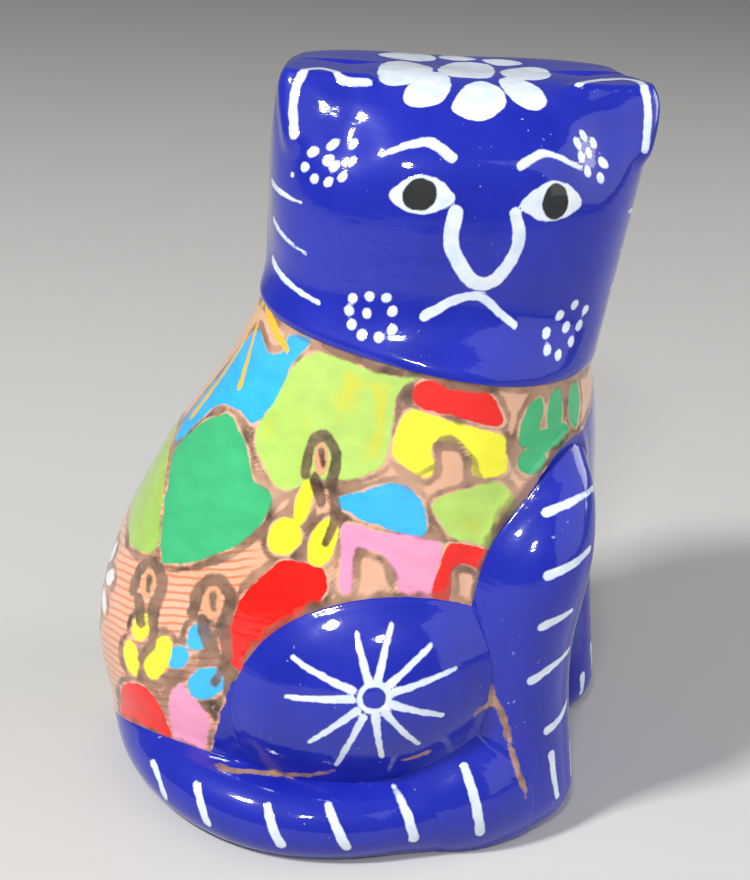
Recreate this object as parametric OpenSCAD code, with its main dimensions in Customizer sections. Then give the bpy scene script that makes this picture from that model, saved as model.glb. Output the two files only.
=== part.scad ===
// Seated cat figure in hollow painted earthenware, built up from pressed and modelled pieces of clay.
//
// Millimetres, +Z up. The figure stands on z = 0 with the middle of its footprint at the origin.
// +X is the way the chest faces. The cat's right side is -Y, and its head is turned to that side.
// The numbers in the Hidden section are sizes on a figure 140 mm tall; figure_h scales them all.

/* [Figure] */
// Height of the finished figure
figure_h = 140; // [90:5:220]
// Thickness of the hollow body and head
wall = 5; // [3:0.5:7]
// Thickness of the slab that closes the underside
slab_t = 6; // [4:0.5:9]
// Diameter of the kiln vent through the slab
vent_d = 10; // [4:0.5:16]

/* [Head] */
// Turn of the face from square-on to the cat's right side, towards the chest, in degrees
head_turn = 18; // [8:1:28]
// Radius of the rounded tip of each ear
ear_tip_r = 6.4; // [5:0.2:7]

/* [Limbs] */
// Radius of each front leg where it meets the paw
leg_r = 12.6; // [11:0.2:13]
// Height of each haunch above the flank of the body
haunch_rise = 5; // [3:0.5:7]
// Radius of the tail in its thickest stretch
tail_r = 7.3; // [6:0.1:8]

/* [Smoothness] */
// Points round each section of the body and head
around = 56; // [40:4:72]
// Sections between two stations of the body and head
between = 3; // [2:1:4]

/* [Hidden] */

drawn_h = 140;
k = figure_h / drawn_h;
far = 300;

cobalt = [0.07, 0.09, 0.62];
bare_clay = [0.72, 0.42, 0.28];
painted_flank = [0.45, 0.68, 0.26];
far_flank = [0.20, 0.56, 0.80];

// Stations of the body: height, back x, front x, half width, squareness, slope towards the front.
// Squareness is the exponent of a superellipse, and 2 is an ellipse.
neck_z = 93;
BODY = [
  [0, -45.3, 41.7, 40, 2.3, 0],
  [10, -49.3, 44.7, 42, 2.3, 0],
  [25, -51.8, 44.7, 43, 2.25, 0.02],
  [42, -47.8, 45.7, 40, 2.2, 0.05],
  [58, -39.3, 47.7, 36, 2.2, 0.09],
  [70, -31.3, 47.7, 33.5, 2.2, 0.11],
  [81, -24.6, 46.7, 32.2, 2.25, 0.12],
  [neck_z, -19.4, 44.3, 31.2, 2.4, 0.13]
];

// Stations of the head: height, centre x, centre y, half width, half depth, squareness, share of the
// turn, slope. The lowest one lies in the plane of the neck.
HEAD = [
  [neck_z, 12.4, 0, 32.9, 32, 2.4, 0, 0.13],
  [101, 12.1, 3.8, 33, 30.5, 2.6, 1, 0.07],
  [110, 12.6, 4.8, 33.9, 30.4, 2.75, 1, 0.03],
  [120, 13.3, 5.2, 35, 30, 2.8, 1, 0.01],
  [128, 13.9, 5.5, 35.2, 28.3, 2.9, 1, 0],
  [134, 13.9, 6.9, 34.5, 24.2, 3.1, 1, 0],
  [137.3, 13.6, 7.4, 33.4, 19.7, 3.4, 1, 0],
  [139.3, 13.2, 8.4, 31, 14, 3.8, 1, 0],
  [drawn_h, 12.9, 9.3, 26.5, 8, 3.8, 1, 0]
];
head_middle = [14, 5.5, 0];
// A point on the upright seam between the face half and the back half
head_seam = [14, 3.3, 0];

// Front legs, from paw to shoulder: x, y, z and radius. The left shoulder sits a little further back.
foot_front = 51.4;
RIGHT_LEG = [
  [foot_front - leg_r, -22, 8, leg_r],
  [37, -21.6, 22, leg_r],
  [36, -21.4, 38, leg_r + 0.2],
  [38.6, -20.4, 57, leg_r - 1],
  [40.5, -15.5, 69, 8],
  [40, -13, 76, 4]
];
LEFT_LEG = [
  [foot_front - leg_r, 22, 8, leg_r],
  [37, 21.6, 22, leg_r],
  [35.2, 21.4, 38, leg_r],
  [35, 20.4, 57, leg_r - 1.6],
  [36.5, 15.5, 69, 7.5],
  [36.5, 13, 76, 4]
];
leg_sides = 28;
// Depth of the rounded sole below the lowest station
sole_r = 11;

// The haunch is an ellipsoid, turned to lie along the flank. It leans forwards as it rises, by a share
// of its height.
haunch_middle = [9.5, -21 - haunch_rise, 27.5];
haunch_radii = [29, 21.5, 25.5];
haunch_turn = 13;
haunch_lean = 0.26;

// Hind paws: middle and radii of each
RIGHT_PAW = [[30.5, -28, 8], [15.5, 14, 15]];
LEFT_PAW = [[22, 39.3, 3], [20, 15, 11]];

// The left ear, before the head's turn: its tip, the root on the side of the head, the end towards the
// crown, and the scoop in its front. The right ear has x the other way.
ear_tip = [27.2, -12.5, drawn_h - 0.2 - ear_tip_r];
ear_root = [29.4, -16.5, 112];
ear_end = [10, -19, 133.5];
ear_edge_r = 5;
ear_scoop = [[20, -29.5, 130], [9.5, 8.2, 9.5]];

// The tail lies on an ellipse round the foot of the body, from behind it to the right hind paw
tail_radii = [40, 54.3 - tail_r];
tail_z = 5.7;
TAIL = [[178, 4.5], [188, tail_r - 0.6], [206, tail_r], [270, tail_r], [300, tail_r - 0.2], [318, 4.5]];
tail_rings = 36;
tail_sides = 20;

// ---- Curves and sections ----

function between_two(p0, p1, p2, p3, t) =
  0.5 * (2 * p1 + (p2 - p0) * t + (2 * p0 - 5 * p1 + 4 * p2 - p3) * t * t
    + (3 * p1 - p0 - 3 * p2 + p3) * t * t * t);

// Catmull-Rom curve through the rows, with count rows for each step from one to the next
function smooth_rows(rows, count) =
  let (last = len(rows) - 1)
  [
    for (i = [0:last - 1], s = [0:count - 1])
      between_two(rows[max(i - 1, 0)], rows[i], rows[i + 1], rows[min(i + 2, last)], s / count),
    rows[last]
  ];

function body_row(r) = [r[0], (r[1] + r[2]) / 2, 0, (r[2] - r[1]) / 2, r[3], r[4], 0, r[5]];

// One closed ring of a station: a turned superellipse, tipped by its slope
function ring(row, sides) =
  let (turn = head_turn * row[6])
  [
    for (i = [0:sides - 1])
      let (
        a = 360 * i / sides,
        c = abs(cos(a - turn)) / row[3],
        s = abs(sin(a - turn)) / row[4],
        r = pow(pow(c, row[5]) + pow(s, row[5]), -1 / row[5])
      )
      [row[1] + r * cos(a), row[2] + r * sin(a), row[0] - row[7] * r * cos(a)]
  ];

// The rows of a cavity: each section drawn in by the wall, the heights spread from low to high
function cavity_rows(rows, low, high) =
  let (bottom = rows[0][0], span = rows[len(rows) - 1][0] - bottom)
  [
    for (r = rows)
      [
        low + (r[0] - bottom) * (high - low) / span,
        r[1], r[2], max(r[3] - wall, 1), max(r[4] - wall, 1), r[5], r[6], r[7]
      ]
  ];

// Solid through a stack of closed rings with the same number of points
module stack(rings) {
  n = len(rings[0]);
  top = (len(rings) - 1) * n;
  polyhedron(
    points = [for (r = rings, p = r) p],
    faces = concat(
      [[for (i = [0:n - 1]) i]],
      [[for (i = [n - 1:-1:0]) top + i]],
      [
        for (j = [0:len(rings) - 2], i = [0:n - 1])
          [j * n + i, (j + 1) * n + i, j * n + (i + 1) % n]
      ],
      [
        for (j = [0:len(rings) - 2], i = [0:n - 1])
          [(j + 1) * n + i, (j + 1) * n + (i + 1) % n, j * n + (i + 1) % n]
      ]
    ),
    convexity = 6
  );
}

module lofted(rows, count = between) {
  stack([for (r = smooth_rows(rows, count)) ring(r, around)]);
}

// A resize to zero keeps every size and settles the carved shape as one smooth shell
module carved() {
  resize([0, 0, 0]) children();
}

module above_floor() {
  intersection() {
    children();
    translate([-far, -far, 0]) cube([2 * far, 2 * far, far]);
  }
}

// What lies on the side that the angle points to, of an upright plane through a point
module half(angle, through) {
  intersection() {
    children();
    translate(through) rotate(angle) translate([0, -far, -far]) cube([far, 2 * far, 2 * far]);
  }
}

module mirrored_to_left() {
  mirror([0, 1, 0]) children();
}

// ---- Whole shapes that the pieces are cut from ----

module body_solid() {
  lofted([for (r = BODY) body_row(r)]);
}

module body_cavity() {
  lofted(cavity_rows([for (r = BODY) body_row(r)], -1, neck_z + 1), 2);
}

module head_solid() {
  lofted(HEAD);
}

module head_cavity() {
  lofted(cavity_rows(HEAD, neck_z - 2.5, drawn_h - wall), 2);
}

module ellipsoid(centre, radii, sides = 40) {
  translate(centre) scale(radii) sphere(1, $fn = sides);
}

function level_circle(row, sides) =
  [
    for (i = [0:sides - 1])
      let (a = 360 * i / sides)
      [row[0] + row[3] * cos(a), row[1] + row[3] * sin(a), row[2]]
  ];

// A front leg: level round sections down a leaning line, and a rounded paw
module leg_solid(rows) {
  foot = rows[0];
  above_floor() {
    stack([for (r = smooth_rows(rows, 3)) level_circle(r, leg_sides)]);
    ellipsoid([foot[0], foot[1], foot[2]], [foot[3], foot[3], sole_r], leg_sides);
  }
}

// A low dome on the flank
module haunch_solid() {
  above_floor()
    translate(haunch_middle)
    multmatrix([[1, 0, haunch_lean, 0], [0, 1, 0, 0], [0, 0, 1, 0], [0, 0, 0, 1]])
    rotate(haunch_turn)
    scale(haunch_radii)
    sphere(1, $fn = 44);
}

module paw_solid(paw) {
  above_floor() ellipsoid(paw[0], paw[1], 36);
}

function tail_ring(row) =
  let (
    a = row[0],
    out = [cos(a) / tail_radii[0], sin(a) / tail_radii[1], 0],
    side = out / norm(out)
  )
  [
    for (i = [0:tail_sides - 1])
      let (b = -360 * i / tail_sides)
      [tail_radii[0] * cos(a), tail_radii[1] * sin(a), tail_z]
        + row[1] * (cos(b) * side + sin(b) * [0, 0, 1])
  ];

module tail_solid() {
  tip = TAIL[len(TAIL) - 1];
  above_floor() {
    stack([for (r = smooth_rows(TAIL, ceil(tail_rings / len(TAIL)))) tail_ring(r)]);
    for (end = [TAIL[0], tip])
      ellipsoid(
        [tail_radii[0] * cos(end[0]), tail_radii[1] * sin(end[0]), tail_z], [end[1], end[1], end[1]], 20
      );
  }
}

function on_side(p, side) = [side * p[0], p[1], p[2]];

// An ear in the head's own directions, side = -1 for the cat's right ear
module ear_solid(side) {
  translate(head_middle) rotate(head_turn) difference() {
    hull() {
      translate(on_side(ear_tip, side)) sphere(ear_tip_r, $fn = 26);
      translate(on_side(ear_root, side)) sphere(ear_edge_r, $fn = 22);
      translate(on_side(ear_end, side)) sphere(ear_edge_r, $fn = 22);
    }
    ellipsoid(on_side(ear_scoop[0], side), ear_scoop[1], 32);
  }
}

// ---- Pieces ----

// The outline of the slab, which is the inside of the body wall at its foot
module slab_outline() {
  foot = ring(cavity_rows([for (r = BODY) body_row(r)], 0, neck_z)[0], around);
  polygon([for (p = foot) [p[0], p[1]]]);
}

module base_slab() {
  color(bare_clay) difference() {
    linear_extrude(slab_t) slab_outline();
    translate([0, 0, -1]) cylinder(d = vent_d, h = slab_t + 2, $fn = 48);
  }
}

module torso_half(angle) {
  carved() half(angle, [0, 0, 0]) difference() {
    body_solid();
    body_cavity();
    translate([0, 0, -1]) linear_extrude(slab_t + 1) slab_outline();
  }
}

module torso_right_half() {
  color(painted_flank) torso_half(-90);
}

module torso_left_half() {
  color(far_flank) torso_half(90);
}

module head_half(angle) {
  carved() half(angle, head_seam) difference() {
    head_solid();
    head_cavity();
    ear_solid(-1);
    ear_solid(1);
  }
}

module head_face_half() {
  color(cobalt) head_half(head_turn - 90);
}

module head_back_half() {
  color(cobalt * 0.9) head_half(head_turn + 90);
}

module right_ear() {
  color(cobalt * 1.3) carved() difference() {
    ear_solid(-1);
    head_cavity();
  }
}

module left_ear() {
  color(cobalt * 1.3) carved() difference() {
    ear_solid(1);
    head_cavity();
  }
}

module right_front_leg() {
  color(cobalt * 1.15) carved() difference() {
    leg_solid(RIGHT_LEG);
    body_solid();
    leg_solid(LEFT_LEG);
  }
}

module left_front_leg() {
  color(cobalt * 1.15) carved() difference() {
    half(90, [0, 0, 0]) leg_solid(LEFT_LEG);
    body_solid();
  }
}

module right_haunch() {
  color(cobalt) carved() difference() {
    haunch_solid();
    body_solid();
    leg_solid(RIGHT_LEG);
  }
}

module left_haunch() {
  color(cobalt) carved() difference() {
    mirrored_to_left() haunch_solid();
    body_solid();
    leg_solid(LEFT_LEG);
  }
}

module right_hind_paw() {
  color(cobalt * 1.25) carved() difference() {
    paw_solid(RIGHT_PAW);
    body_solid();
    leg_solid(RIGHT_LEG);
    haunch_solid();
  }
}

module left_hind_paw() {
  color(cobalt * 1.25) carved() difference() {
    paw_solid(LEFT_PAW);
    body_solid();
    leg_solid(LEFT_LEG);
    mirrored_to_left() haunch_solid();
  }
}

module tail() {
  color(cobalt * 0.85) carved() difference() {
    tail_solid();
    body_solid();
    haunch_solid();
    paw_solid(RIGHT_PAW);
    leg_solid(RIGHT_LEG);
  }
}

scale(k) base_slab();
scale(k) torso_right_half();
scale(k) torso_left_half();
scale(k) head_face_half();
scale(k) head_back_half();
scale(k) right_ear();
scale(k) left_ear();
scale(k) right_front_leg();
scale(k) left_front_leg();
scale(k) right_haunch();
scale(k) left_haunch();
scale(k) right_hind_paw();
scale(k) left_hind_paw();
scale(k) tail();
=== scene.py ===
# %% [markdown]
# # A painted clay cat
# This scene dresses a seated cat made of hollow earthenware. On the real figure the potter presses
# two body halves and two head halves, lutes on ears, legs, haunches, paws and a tail, fires it, and
# paints it by hand under a glossy varnish. The same pieces are made here, one closed mesh each, except
# the ears, which are drawn out of the face half.

# %% Load the frame
import math

import bmesh
import bpy
import numpy as np
from mathutils import Matrix, Vector


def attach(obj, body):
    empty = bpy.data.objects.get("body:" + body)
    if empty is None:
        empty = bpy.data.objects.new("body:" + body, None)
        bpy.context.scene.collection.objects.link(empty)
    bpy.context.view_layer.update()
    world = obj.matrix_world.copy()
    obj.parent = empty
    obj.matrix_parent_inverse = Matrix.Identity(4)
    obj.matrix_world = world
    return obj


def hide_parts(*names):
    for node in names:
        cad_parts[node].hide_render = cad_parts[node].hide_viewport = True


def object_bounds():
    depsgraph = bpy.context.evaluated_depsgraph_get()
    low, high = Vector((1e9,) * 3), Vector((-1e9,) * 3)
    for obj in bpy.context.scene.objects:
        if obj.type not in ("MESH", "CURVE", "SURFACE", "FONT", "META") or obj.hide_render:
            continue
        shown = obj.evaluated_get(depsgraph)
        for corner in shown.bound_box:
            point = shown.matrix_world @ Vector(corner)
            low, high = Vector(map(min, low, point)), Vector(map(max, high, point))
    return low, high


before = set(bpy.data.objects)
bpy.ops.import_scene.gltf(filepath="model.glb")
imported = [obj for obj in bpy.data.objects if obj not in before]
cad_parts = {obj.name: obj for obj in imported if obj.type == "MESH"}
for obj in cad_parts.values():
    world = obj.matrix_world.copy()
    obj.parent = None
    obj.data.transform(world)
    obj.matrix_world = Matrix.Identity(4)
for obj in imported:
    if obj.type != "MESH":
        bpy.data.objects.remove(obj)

cad_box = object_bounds()
BODY_NAME = "root"
DRAWN_HEIGHT = 140.0
MM = (cad_box[1][2] - cad_box[0][2]) / DRAWN_HEIGHT
print("one drawn millimetre is", round(MM * 1000, 4), "mm; nodes:", len(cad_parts))

# %% [markdown]
# ## Camera
# The camera looks at the figure's right side, a little from the front and from above. It is close and
# slightly rolled. Three angles, a distance and a target say where it is, which reads better than a
# matrix. The lens follows from how large the figure is in an upright frame.

# %% Camera
camera_turn, camera_lift, camera_roll = math.radians(11.2), math.radians(22.0), math.radians(3.8)
camera_distance = 0.345
camera_target = np.array([0.0022, 0.0054, 0.0629])
LENS, SENSOR = 69.1, 36


def camera_axes():
    """Right, up and back directions: back points from the target to the camera, then both others roll."""
    back = np.array([
        math.sin(camera_turn) * math.cos(camera_lift),
        -math.cos(camera_turn) * math.cos(camera_lift),
        math.sin(camera_lift),
    ])
    right = np.cross(-back, [0, 0, 1])
    right /= np.linalg.norm(right)
    up = np.cross(right, -back)
    c, s = math.cos(camera_roll), math.sin(camera_roll)
    return right * c + up * s, up * c - right * s, back


def make_camera():
    right, up, back = camera_axes()
    place = camera_target + camera_distance * back
    data = bpy.data.cameras.new("camera")
    data.sensor_width = SENSOR
    data.lens = LENS
    data.clip_start = 0.01
    camera = bpy.data.objects.new("camera", data)
    axes = np.array([right, up, back, place]).T
    camera.matrix_world = Matrix([*axes.tolist(), [0, 0, 0, 1]])
    bpy.context.collection.objects.link(camera)
    bpy.context.scene.camera = camera
    return camera


camera = make_camera()
print("camera at", [round(v, 4) for v in camera.matrix_world.translation])

# %% [markdown]
# ## Curves and sections
# Body and head are stacks of rounded sections. A section is a superellipse, whose exponent says how
# square it is, and a smooth curve runs through a few stations to give every section between them.
# A lathe or a cage with subdivision would also do, but the formula keeps each wall exactly where the
# frame has it.

# %% Sections through a row of stations
NECK = 93.0
# height, back x, front x, half width, squareness, slope towards the chest
BODY = [
    (0, -45.3, 41.7, 40, 2.3, 0),
    (10, -49.3, 44.7, 42, 2.3, 0),
    (25, -51.8, 44.7, 43, 2.25, 0.02),
    (42, -47.8, 45.7, 40, 2.2, 0.05),
    (58, -39.3, 47.7, 36, 2.2, 0.09),
    (70, -31.3, 47.7, 33.5, 2.2, 0.11),
    (81, -24.6, 46.7, 32.2, 2.25, 0.12),
    (NECK, -19.4, 44.3, 31.2, 2.4, 0.13),
]
# height, middle x, middle y, half width, half depth, squareness, share of the turn, slope
HEAD = [
    (NECK, 12.4, 0, 32.9, 32, 2.4, 0, 0.13),
    (101, 12.1, 3.8, 33, 30.5, 2.6, 1, 0.07),
    (110, 12.6, 4.8, 33.9, 30.4, 2.75, 1, 0.03),
    (120, 13.3, 5.2, 35, 30, 2.8, 1, 0.01),
    (128, 13.9, 5.5, 35.2, 28.3, 2.9, 1, 0),
    (134, 13.9, 6.9, 34.5, 24.2, 3.1, 1, 0),
    (137.3, 13.6, 7.4, 33.4, 19.7, 3.4, 1, 0),
    (139.3, 13.2, 8.4, 31, 14, 3.8, 1, 0),
    (DRAWN_HEIGHT, 12.9, 9.3, 26.5, 8, 3.8, 1, 0),
    (DRAWN_HEIGHT, 12.9, 9.3, 0.01, 0.01, 3.8, 1, 0),
]
HEAD_TURN = math.radians(18)
BODY_ROWS = np.array([
    (z, (back + front) / 2, 0, (front - back) / 2, half, square, 0, slope)
    for z, back, front, half, square, slope in BODY
])
HEAD_ROWS = np.array(HEAD, float)


def rows_at(rows, t):
    """Catmull-Rom curve through the rows at the places t, where 0 is the first row and 1 the second.

    Each value is half of 2b + (c-a)s + (2a-5b+4c-d)s^2 + (3b-a-3c+d)s^3 between rows b and c.
    """
    last = len(rows) - 1
    i = np.clip(np.floor(t).astype(int), 0, last - 1)
    s = (t - i)[:, None]
    a, b, c, d = rows[np.maximum(i - 1, 0)], rows[i], rows[i + 1], rows[np.minimum(i + 2, last)]
    cubic = 2 * b + (c - a) * s + (2 * a - 5 * b + 4 * c - d) * s**2 + (3 * b - a - 3 * c + d) * s**3
    return cubic / 2


def section_radius(angle, half_width, half_depth, square, turn):
    """Radius of a superellipse: (|cos|/w)^n + (|sin|/d)^n, to the power -1/n, of the turned angle."""
    c = np.abs(np.cos(angle - turn)) / half_width
    s = np.abs(np.sin(angle - turn)) / half_depth
    return (c**square + s**square) ** (-1 / square)


def loft(rows, t, angle, inward=0.0):
    """Points for every t (down the rows) and angle (round them). Each ring is tipped by its slope."""
    z, x, y, w, d, n, share, slope = rows_at(rows, t).T[:, :, None]
    turn = HEAD_TURN * share
    r = section_radius(angle[None], np.maximum(w - inward, 0.01), np.maximum(d - inward, 0.01), n, turn)
    out = r * np.cos(angle)
    return np.stack([x + out, y + r * np.sin(angle), z - slope * out], axis=-1)


def even_rows(rows, step):
    """Places t whose profile points, at the side of the section, are about one step apart."""
    t = np.linspace(0, len(rows) - 1, 1200)
    z, _, _, w, d = rows_at(rows, t).T[:5]
    run = np.concatenate([[0], np.cumsum(np.hypot(np.diff(z), np.diff((w + d) / 2)))])
    return np.interp(np.linspace(0, run[-1], int(run[-1] / step) + 1), run, t)


print("body profile rows:", len(even_rows(BODY_ROWS, 0.6)), "head:", len(even_rows(HEAD_ROWS, 0.6)))

# %% [markdown]
# ## Distances to the limbs
# Clay that is luted on leaves no knife-sharp corner: the potter wipes the joint with a wet finger.
# To get that soft crease, every piece needs to know how near its neighbours are. Each shape therefore
# has a distance function, negative inside, and a piece swells a little where a neighbour comes close.

# %% Sizes of the limbs
FOOT_FRONT = 51.4
LEG_RADIUS = 12.6
# a front leg from paw to shoulder: x, y, z and radius
LEG = np.array([
    (FOOT_FRONT - LEG_RADIUS, -22, 8, LEG_RADIUS),
    (37, -21.6, 22, LEG_RADIUS),
    (36, -21.4, 38, LEG_RADIUS + 0.2),
    (38.6, -20.4, 57, LEG_RADIUS - 1),
    (40.5, -15.5, 69, 8),
    (40, -13, 76, 4),
    (39.5, -12, 79, 0.01),
])
LEFT_LEG = np.array([
    (FOOT_FRONT - LEG_RADIUS, 22, 8, LEG_RADIUS),
    (37, 21.6, 22, LEG_RADIUS),
    (35.2, 21.4, 38, LEG_RADIUS),
    (35, 20.4, 57, LEG_RADIUS - 1.6),
    (36.5, 15.5, 69, 7.5),
    (36.5, 13, 76, 4),
    (36, 12, 79, 0.01),
])
TAIL_RADIUS = 7.3
TAIL_ELLIPSE = np.array([40, 54.3 - TAIL_RADIUS])
TAIL_Z = 5.7
# place round the ellipse in degrees, radius
TAIL = np.array([
    (176, 0.01), (180, 4.8), (188, 6.7), (206, TAIL_RADIUS), (270, TAIL_RADIUS), (300, 7.1),
    (314, 5.2), (319, 0.01),
])
HAUNCH = dict(middle=(9.5, -26, 27.5), radii=(29, 21.5, 25.5), turn=math.radians(13), lean=0.26)
HIND_PAW = dict(middle=(30.5, -28, 8), radii=(15.5, 14, 15), turn=0.0, lean=0.0)
FAR_HIND_PAW = dict(middle=(22, 39.3, 3), radii=(20, 15, 11), turn=0.0, lean=0.0)
TO_LEFT = np.array([1, -1, 1])
print("leg stations:", len(LEG), "tail stations:", len(TAIL))

# %% [markdown]
# A point's distance to the body has no simple formula, because the rings are tipped. Halving an interval
# a dozen times finds the ring through the point. An ellipsoid and a tube have ready formulas. A voxel
# grid could hold all of them, but would blur the thin gaps between limbs.

# %% Distance to the body
TABLE = 400
HALVINGS = 12
body_table = rows_at(BODY_ROWS, np.linspace(0, len(BODY) - 1, TABLE))


def body_distance(p):
    """How far p lies outside the body wall: its distance from the axis, less the section's radius there.

    The section through p is found by halving an interval, since tipped rings are not level.
    """
    x, y, z = p[..., 0], p[..., 1], p[..., 2]
    low, high = np.zeros(x.shape), np.full(x.shape, TABLE - 1.0)
    place = np.arange(TABLE)
    for _ in range(HALVINGS):
        middle = (low + high) / 2
        level = np.interp(middle, place, body_table[:, 0])
        centre = np.interp(middle, place, body_table[:, 1])
        slope = np.interp(middle, place, body_table[:, 7])
        above = level - slope * (x - centre) > z
        high = np.where(above, middle, high)
        low = np.where(above, low, middle)
    columns = [np.interp(low, place, body_table[:, k]) for k in (1, 3, 4, 5)]
    angle = np.arctan2(y, x - columns[0])
    return np.hypot(x - columns[0], y) - section_radius(angle, columns[1], columns[2], columns[3], 0)


# %% Distance to ellipsoids and tubes
def turned(p, turn):
    """p turned back by an angle about Z."""
    c, s = math.cos(turn), math.sin(turn)
    return np.stack([p[..., 0] * c + p[..., 1] * s, p[..., 1] * c - p[..., 0] * s, p[..., 2]], axis=-1)


def leaned(p, lean):
    """p moved forwards by its height times the lean."""
    return p + (lean * p[..., 2])[..., None] * np.array([1, 0, 0])


def ellipsoid_distance(shape):
    """Near-distance to an ellipsoid: k0 (k0 - 1) / k1, with k0 = |q / r| and k1 = |q / r^2|."""
    middle, radii = np.array(shape["middle"]), np.array(shape["radii"])

    def distance(p):
        q = turned(leaned(p - middle, -shape["lean"]), shape["turn"]) / radii
        k0 = np.linalg.norm(q, axis=-1) + 1e-9
        k1 = np.linalg.norm(q / radii, axis=-1) + 1e-9
        return k0 * (k0 - 1) / k1

    return distance


def tube_distance(points, radii):
    """Distance to a row of balls, close enough together to make a tube."""

    def distance(p):
        best = np.full(p.shape[:-1], 1e9)
        for c, r in zip(points, radii):
            best = np.minimum(best, np.linalg.norm(p - c, axis=-1) - r)
        return best

    return distance


def mirrored(distance):
    """The distance to the same shape on the left side."""
    return lambda p: distance(p * TO_LEFT)


def within(reach, near):
    """The same distance, marked with how far the soft crease beside that neighbour reaches."""
    marked = lambda p: near(p)
    marked.reach = reach
    return marked


# %% Every limb's distance
HAUNCH_CREASE = 1.2
leg_line = rows_at(LEG, np.linspace(0, len(LEG) - 1, 60))
left_leg_line = rows_at(LEFT_LEG, np.linspace(0, len(LEG) - 1, 60))
tail_line = rows_at(TAIL, np.linspace(0, len(TAIL) - 1, 110))


def tail_middle(degrees):
    """Points on the level ellipse that the tail lies along."""
    a = np.radians(degrees)
    return np.stack([TAIL_ELLIPSE[0] * np.cos(a), TAIL_ELLIPSE[1] * np.sin(a), 0 * a + TAIL_Z], axis=-1)


near_leg = tube_distance(leg_line[:, :3], leg_line[:, 3])
near_haunch = within(HAUNCH_CREASE, ellipsoid_distance(HAUNCH))
near_hind_paw = ellipsoid_distance(HIND_PAW)
near_far_hind_paw = ellipsoid_distance(FAR_HIND_PAW)
near_tail = tube_distance(tail_middle(tail_line[:, 0]), tail_line[:, 1])
near_left_leg = tube_distance(left_leg_line[:, :3], left_leg_line[:, 3])
near_left_haunch = within(HAUNCH_CREASE, mirrored(near_haunch))
print("distance from the haunch's crown to the body wall:",
      round(float(body_distance(np.array([[11.3, -47, 28.5]]))[0]), 2), "mm")

# %% [markdown]
# ## Hand-made surface
# Nothing on such a figure is true. Slow waves a few tenths of a millimetre deep break up the varnish's
# reflections. They are one function of place for every piece, so that neighbours stay in step. A noise
# texture with displacement would do too, but wouldn't be known to the next step.

# %% Unevenness, soft creases and normals
WAVE_DEPTH = 0.13


def lumps(p):
    """Sum of three slow sine waves across the clay, lowered so that it never rises above zero."""
    x, y, z = p[..., 0], p[..., 1], p[..., 2]
    waves = np.sin(x / 6.1 + y / 9.7 + 1.3) + np.sin(y / 5.3 - z / 8.9) + np.sin(z / 7.1 + x / 11.3 + 2.1)
    return WAVE_DEPTH * (waves - 3)


def grid_normals(p):
    """Unit normals of a grid of points: the cross product of its two gradients."""
    n = np.cross(np.gradient(p, axis=1), np.gradient(p, axis=0))
    return n / (np.linalg.norm(n, axis=-1, keepdims=True) + 1e-12)


def outward_normals(p, middle):
    """Normals that point away from the middle. A row shrunk to a pole takes the mean of its neighbour."""
    n = grid_normals(p)
    if np.sum(n * (p - middle)) < 0:
        n = -n
    for pole, beside in ((0, 1), (-1, -2)):
        if np.ptp(p[pole], axis=0).max() < 0.1:
            mean = n[beside].mean(axis=0)
            n[pole] = mean / np.linalg.norm(mean)
    return n


def crease(p, n, neighbours, reach=2.6):
    """Swell towards neighbours: (reach - |distance|)^2 / (4 reach), which rounds the inside corner."""
    for near in neighbours:
        own = getattr(near, "reach", reach)
        gap = np.maximum(own - np.abs(near(p)), 0)
        p = p + n * (gap**2 / (4 * own))[..., None]
    return p


def onto_floor(p):
    """Points below the floor come up to it, which flattens the sole."""
    return np.concatenate([p[..., :2], np.maximum(p[..., 2:], 0)], axis=-1)


def out_of_body(p, depth=1.3):
    """Points deeper in the body than depth come out to that depth, so a limb's back follows the wall."""
    push = np.maximum(-depth - body_distance(p), 0)
    away = p * [1, 1, 0] - [3, 0, 0]
    away /= np.linalg.norm(away, axis=-1, keepdims=True) + 1e-9
    return p + away * push[..., None]


# %% [markdown]
# ## Meshes
# Two helpers turn grids into closed meshes. A wall has an outer grid, a coarser inner grid and four
# edges, which suits the pressed halves. A lump is a grid that closes on itself and ends in two poles,
# which suits limbs. Solidify could give the wall too, but not with a coarser, plainer inside.

# %% Closed meshes from grids
SHARP = math.radians(50)
SAME_POINT = 0.02


def add_mesh(name, points, faces):
    """A smooth-shaded object from points in drawn millimetres, with doubles merged and faces outwards."""
    mesh = bpy.data.meshes.new(name)
    mesh.from_pydata((points * MM).tolist(), [], faces)
    work = bmesh.new()
    work.from_mesh(mesh)
    bmesh.ops.remove_doubles(work, verts=work.verts, dist=SAME_POINT * MM)
    bmesh.ops.recalc_face_normals(work, faces=work.faces)
    work.to_mesh(mesh)
    work.free()
    mesh.shade_smooth()
    mesh.set_sharp_from_angle(angle=SHARP)
    piece = bpy.data.objects.new(name, mesh)
    bpy.context.collection.objects.link(piece)
    triangles = sum(len(f.vertices) - 2 for f in mesh.polygons)
    print(name, "vertices", len(mesh.vertices), "triangles", triangles)
    return piece


def grid_faces(rows, columns, start, wrap=False):
    """Quads between neighbouring rows and columns of a grid whose points begin at start."""
    r, c = np.meshgrid(np.arange(rows - 1), np.arange(columns if wrap else columns - 1), indexing="ij")
    after = (c + 1) % columns
    quads = np.stack([r * columns + c, r * columns + after, (r + 1) * columns + after,
                      (r + 1) * columns + c], axis=-1)
    return (quads.reshape(-1, 4) + start).tolist()


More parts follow.
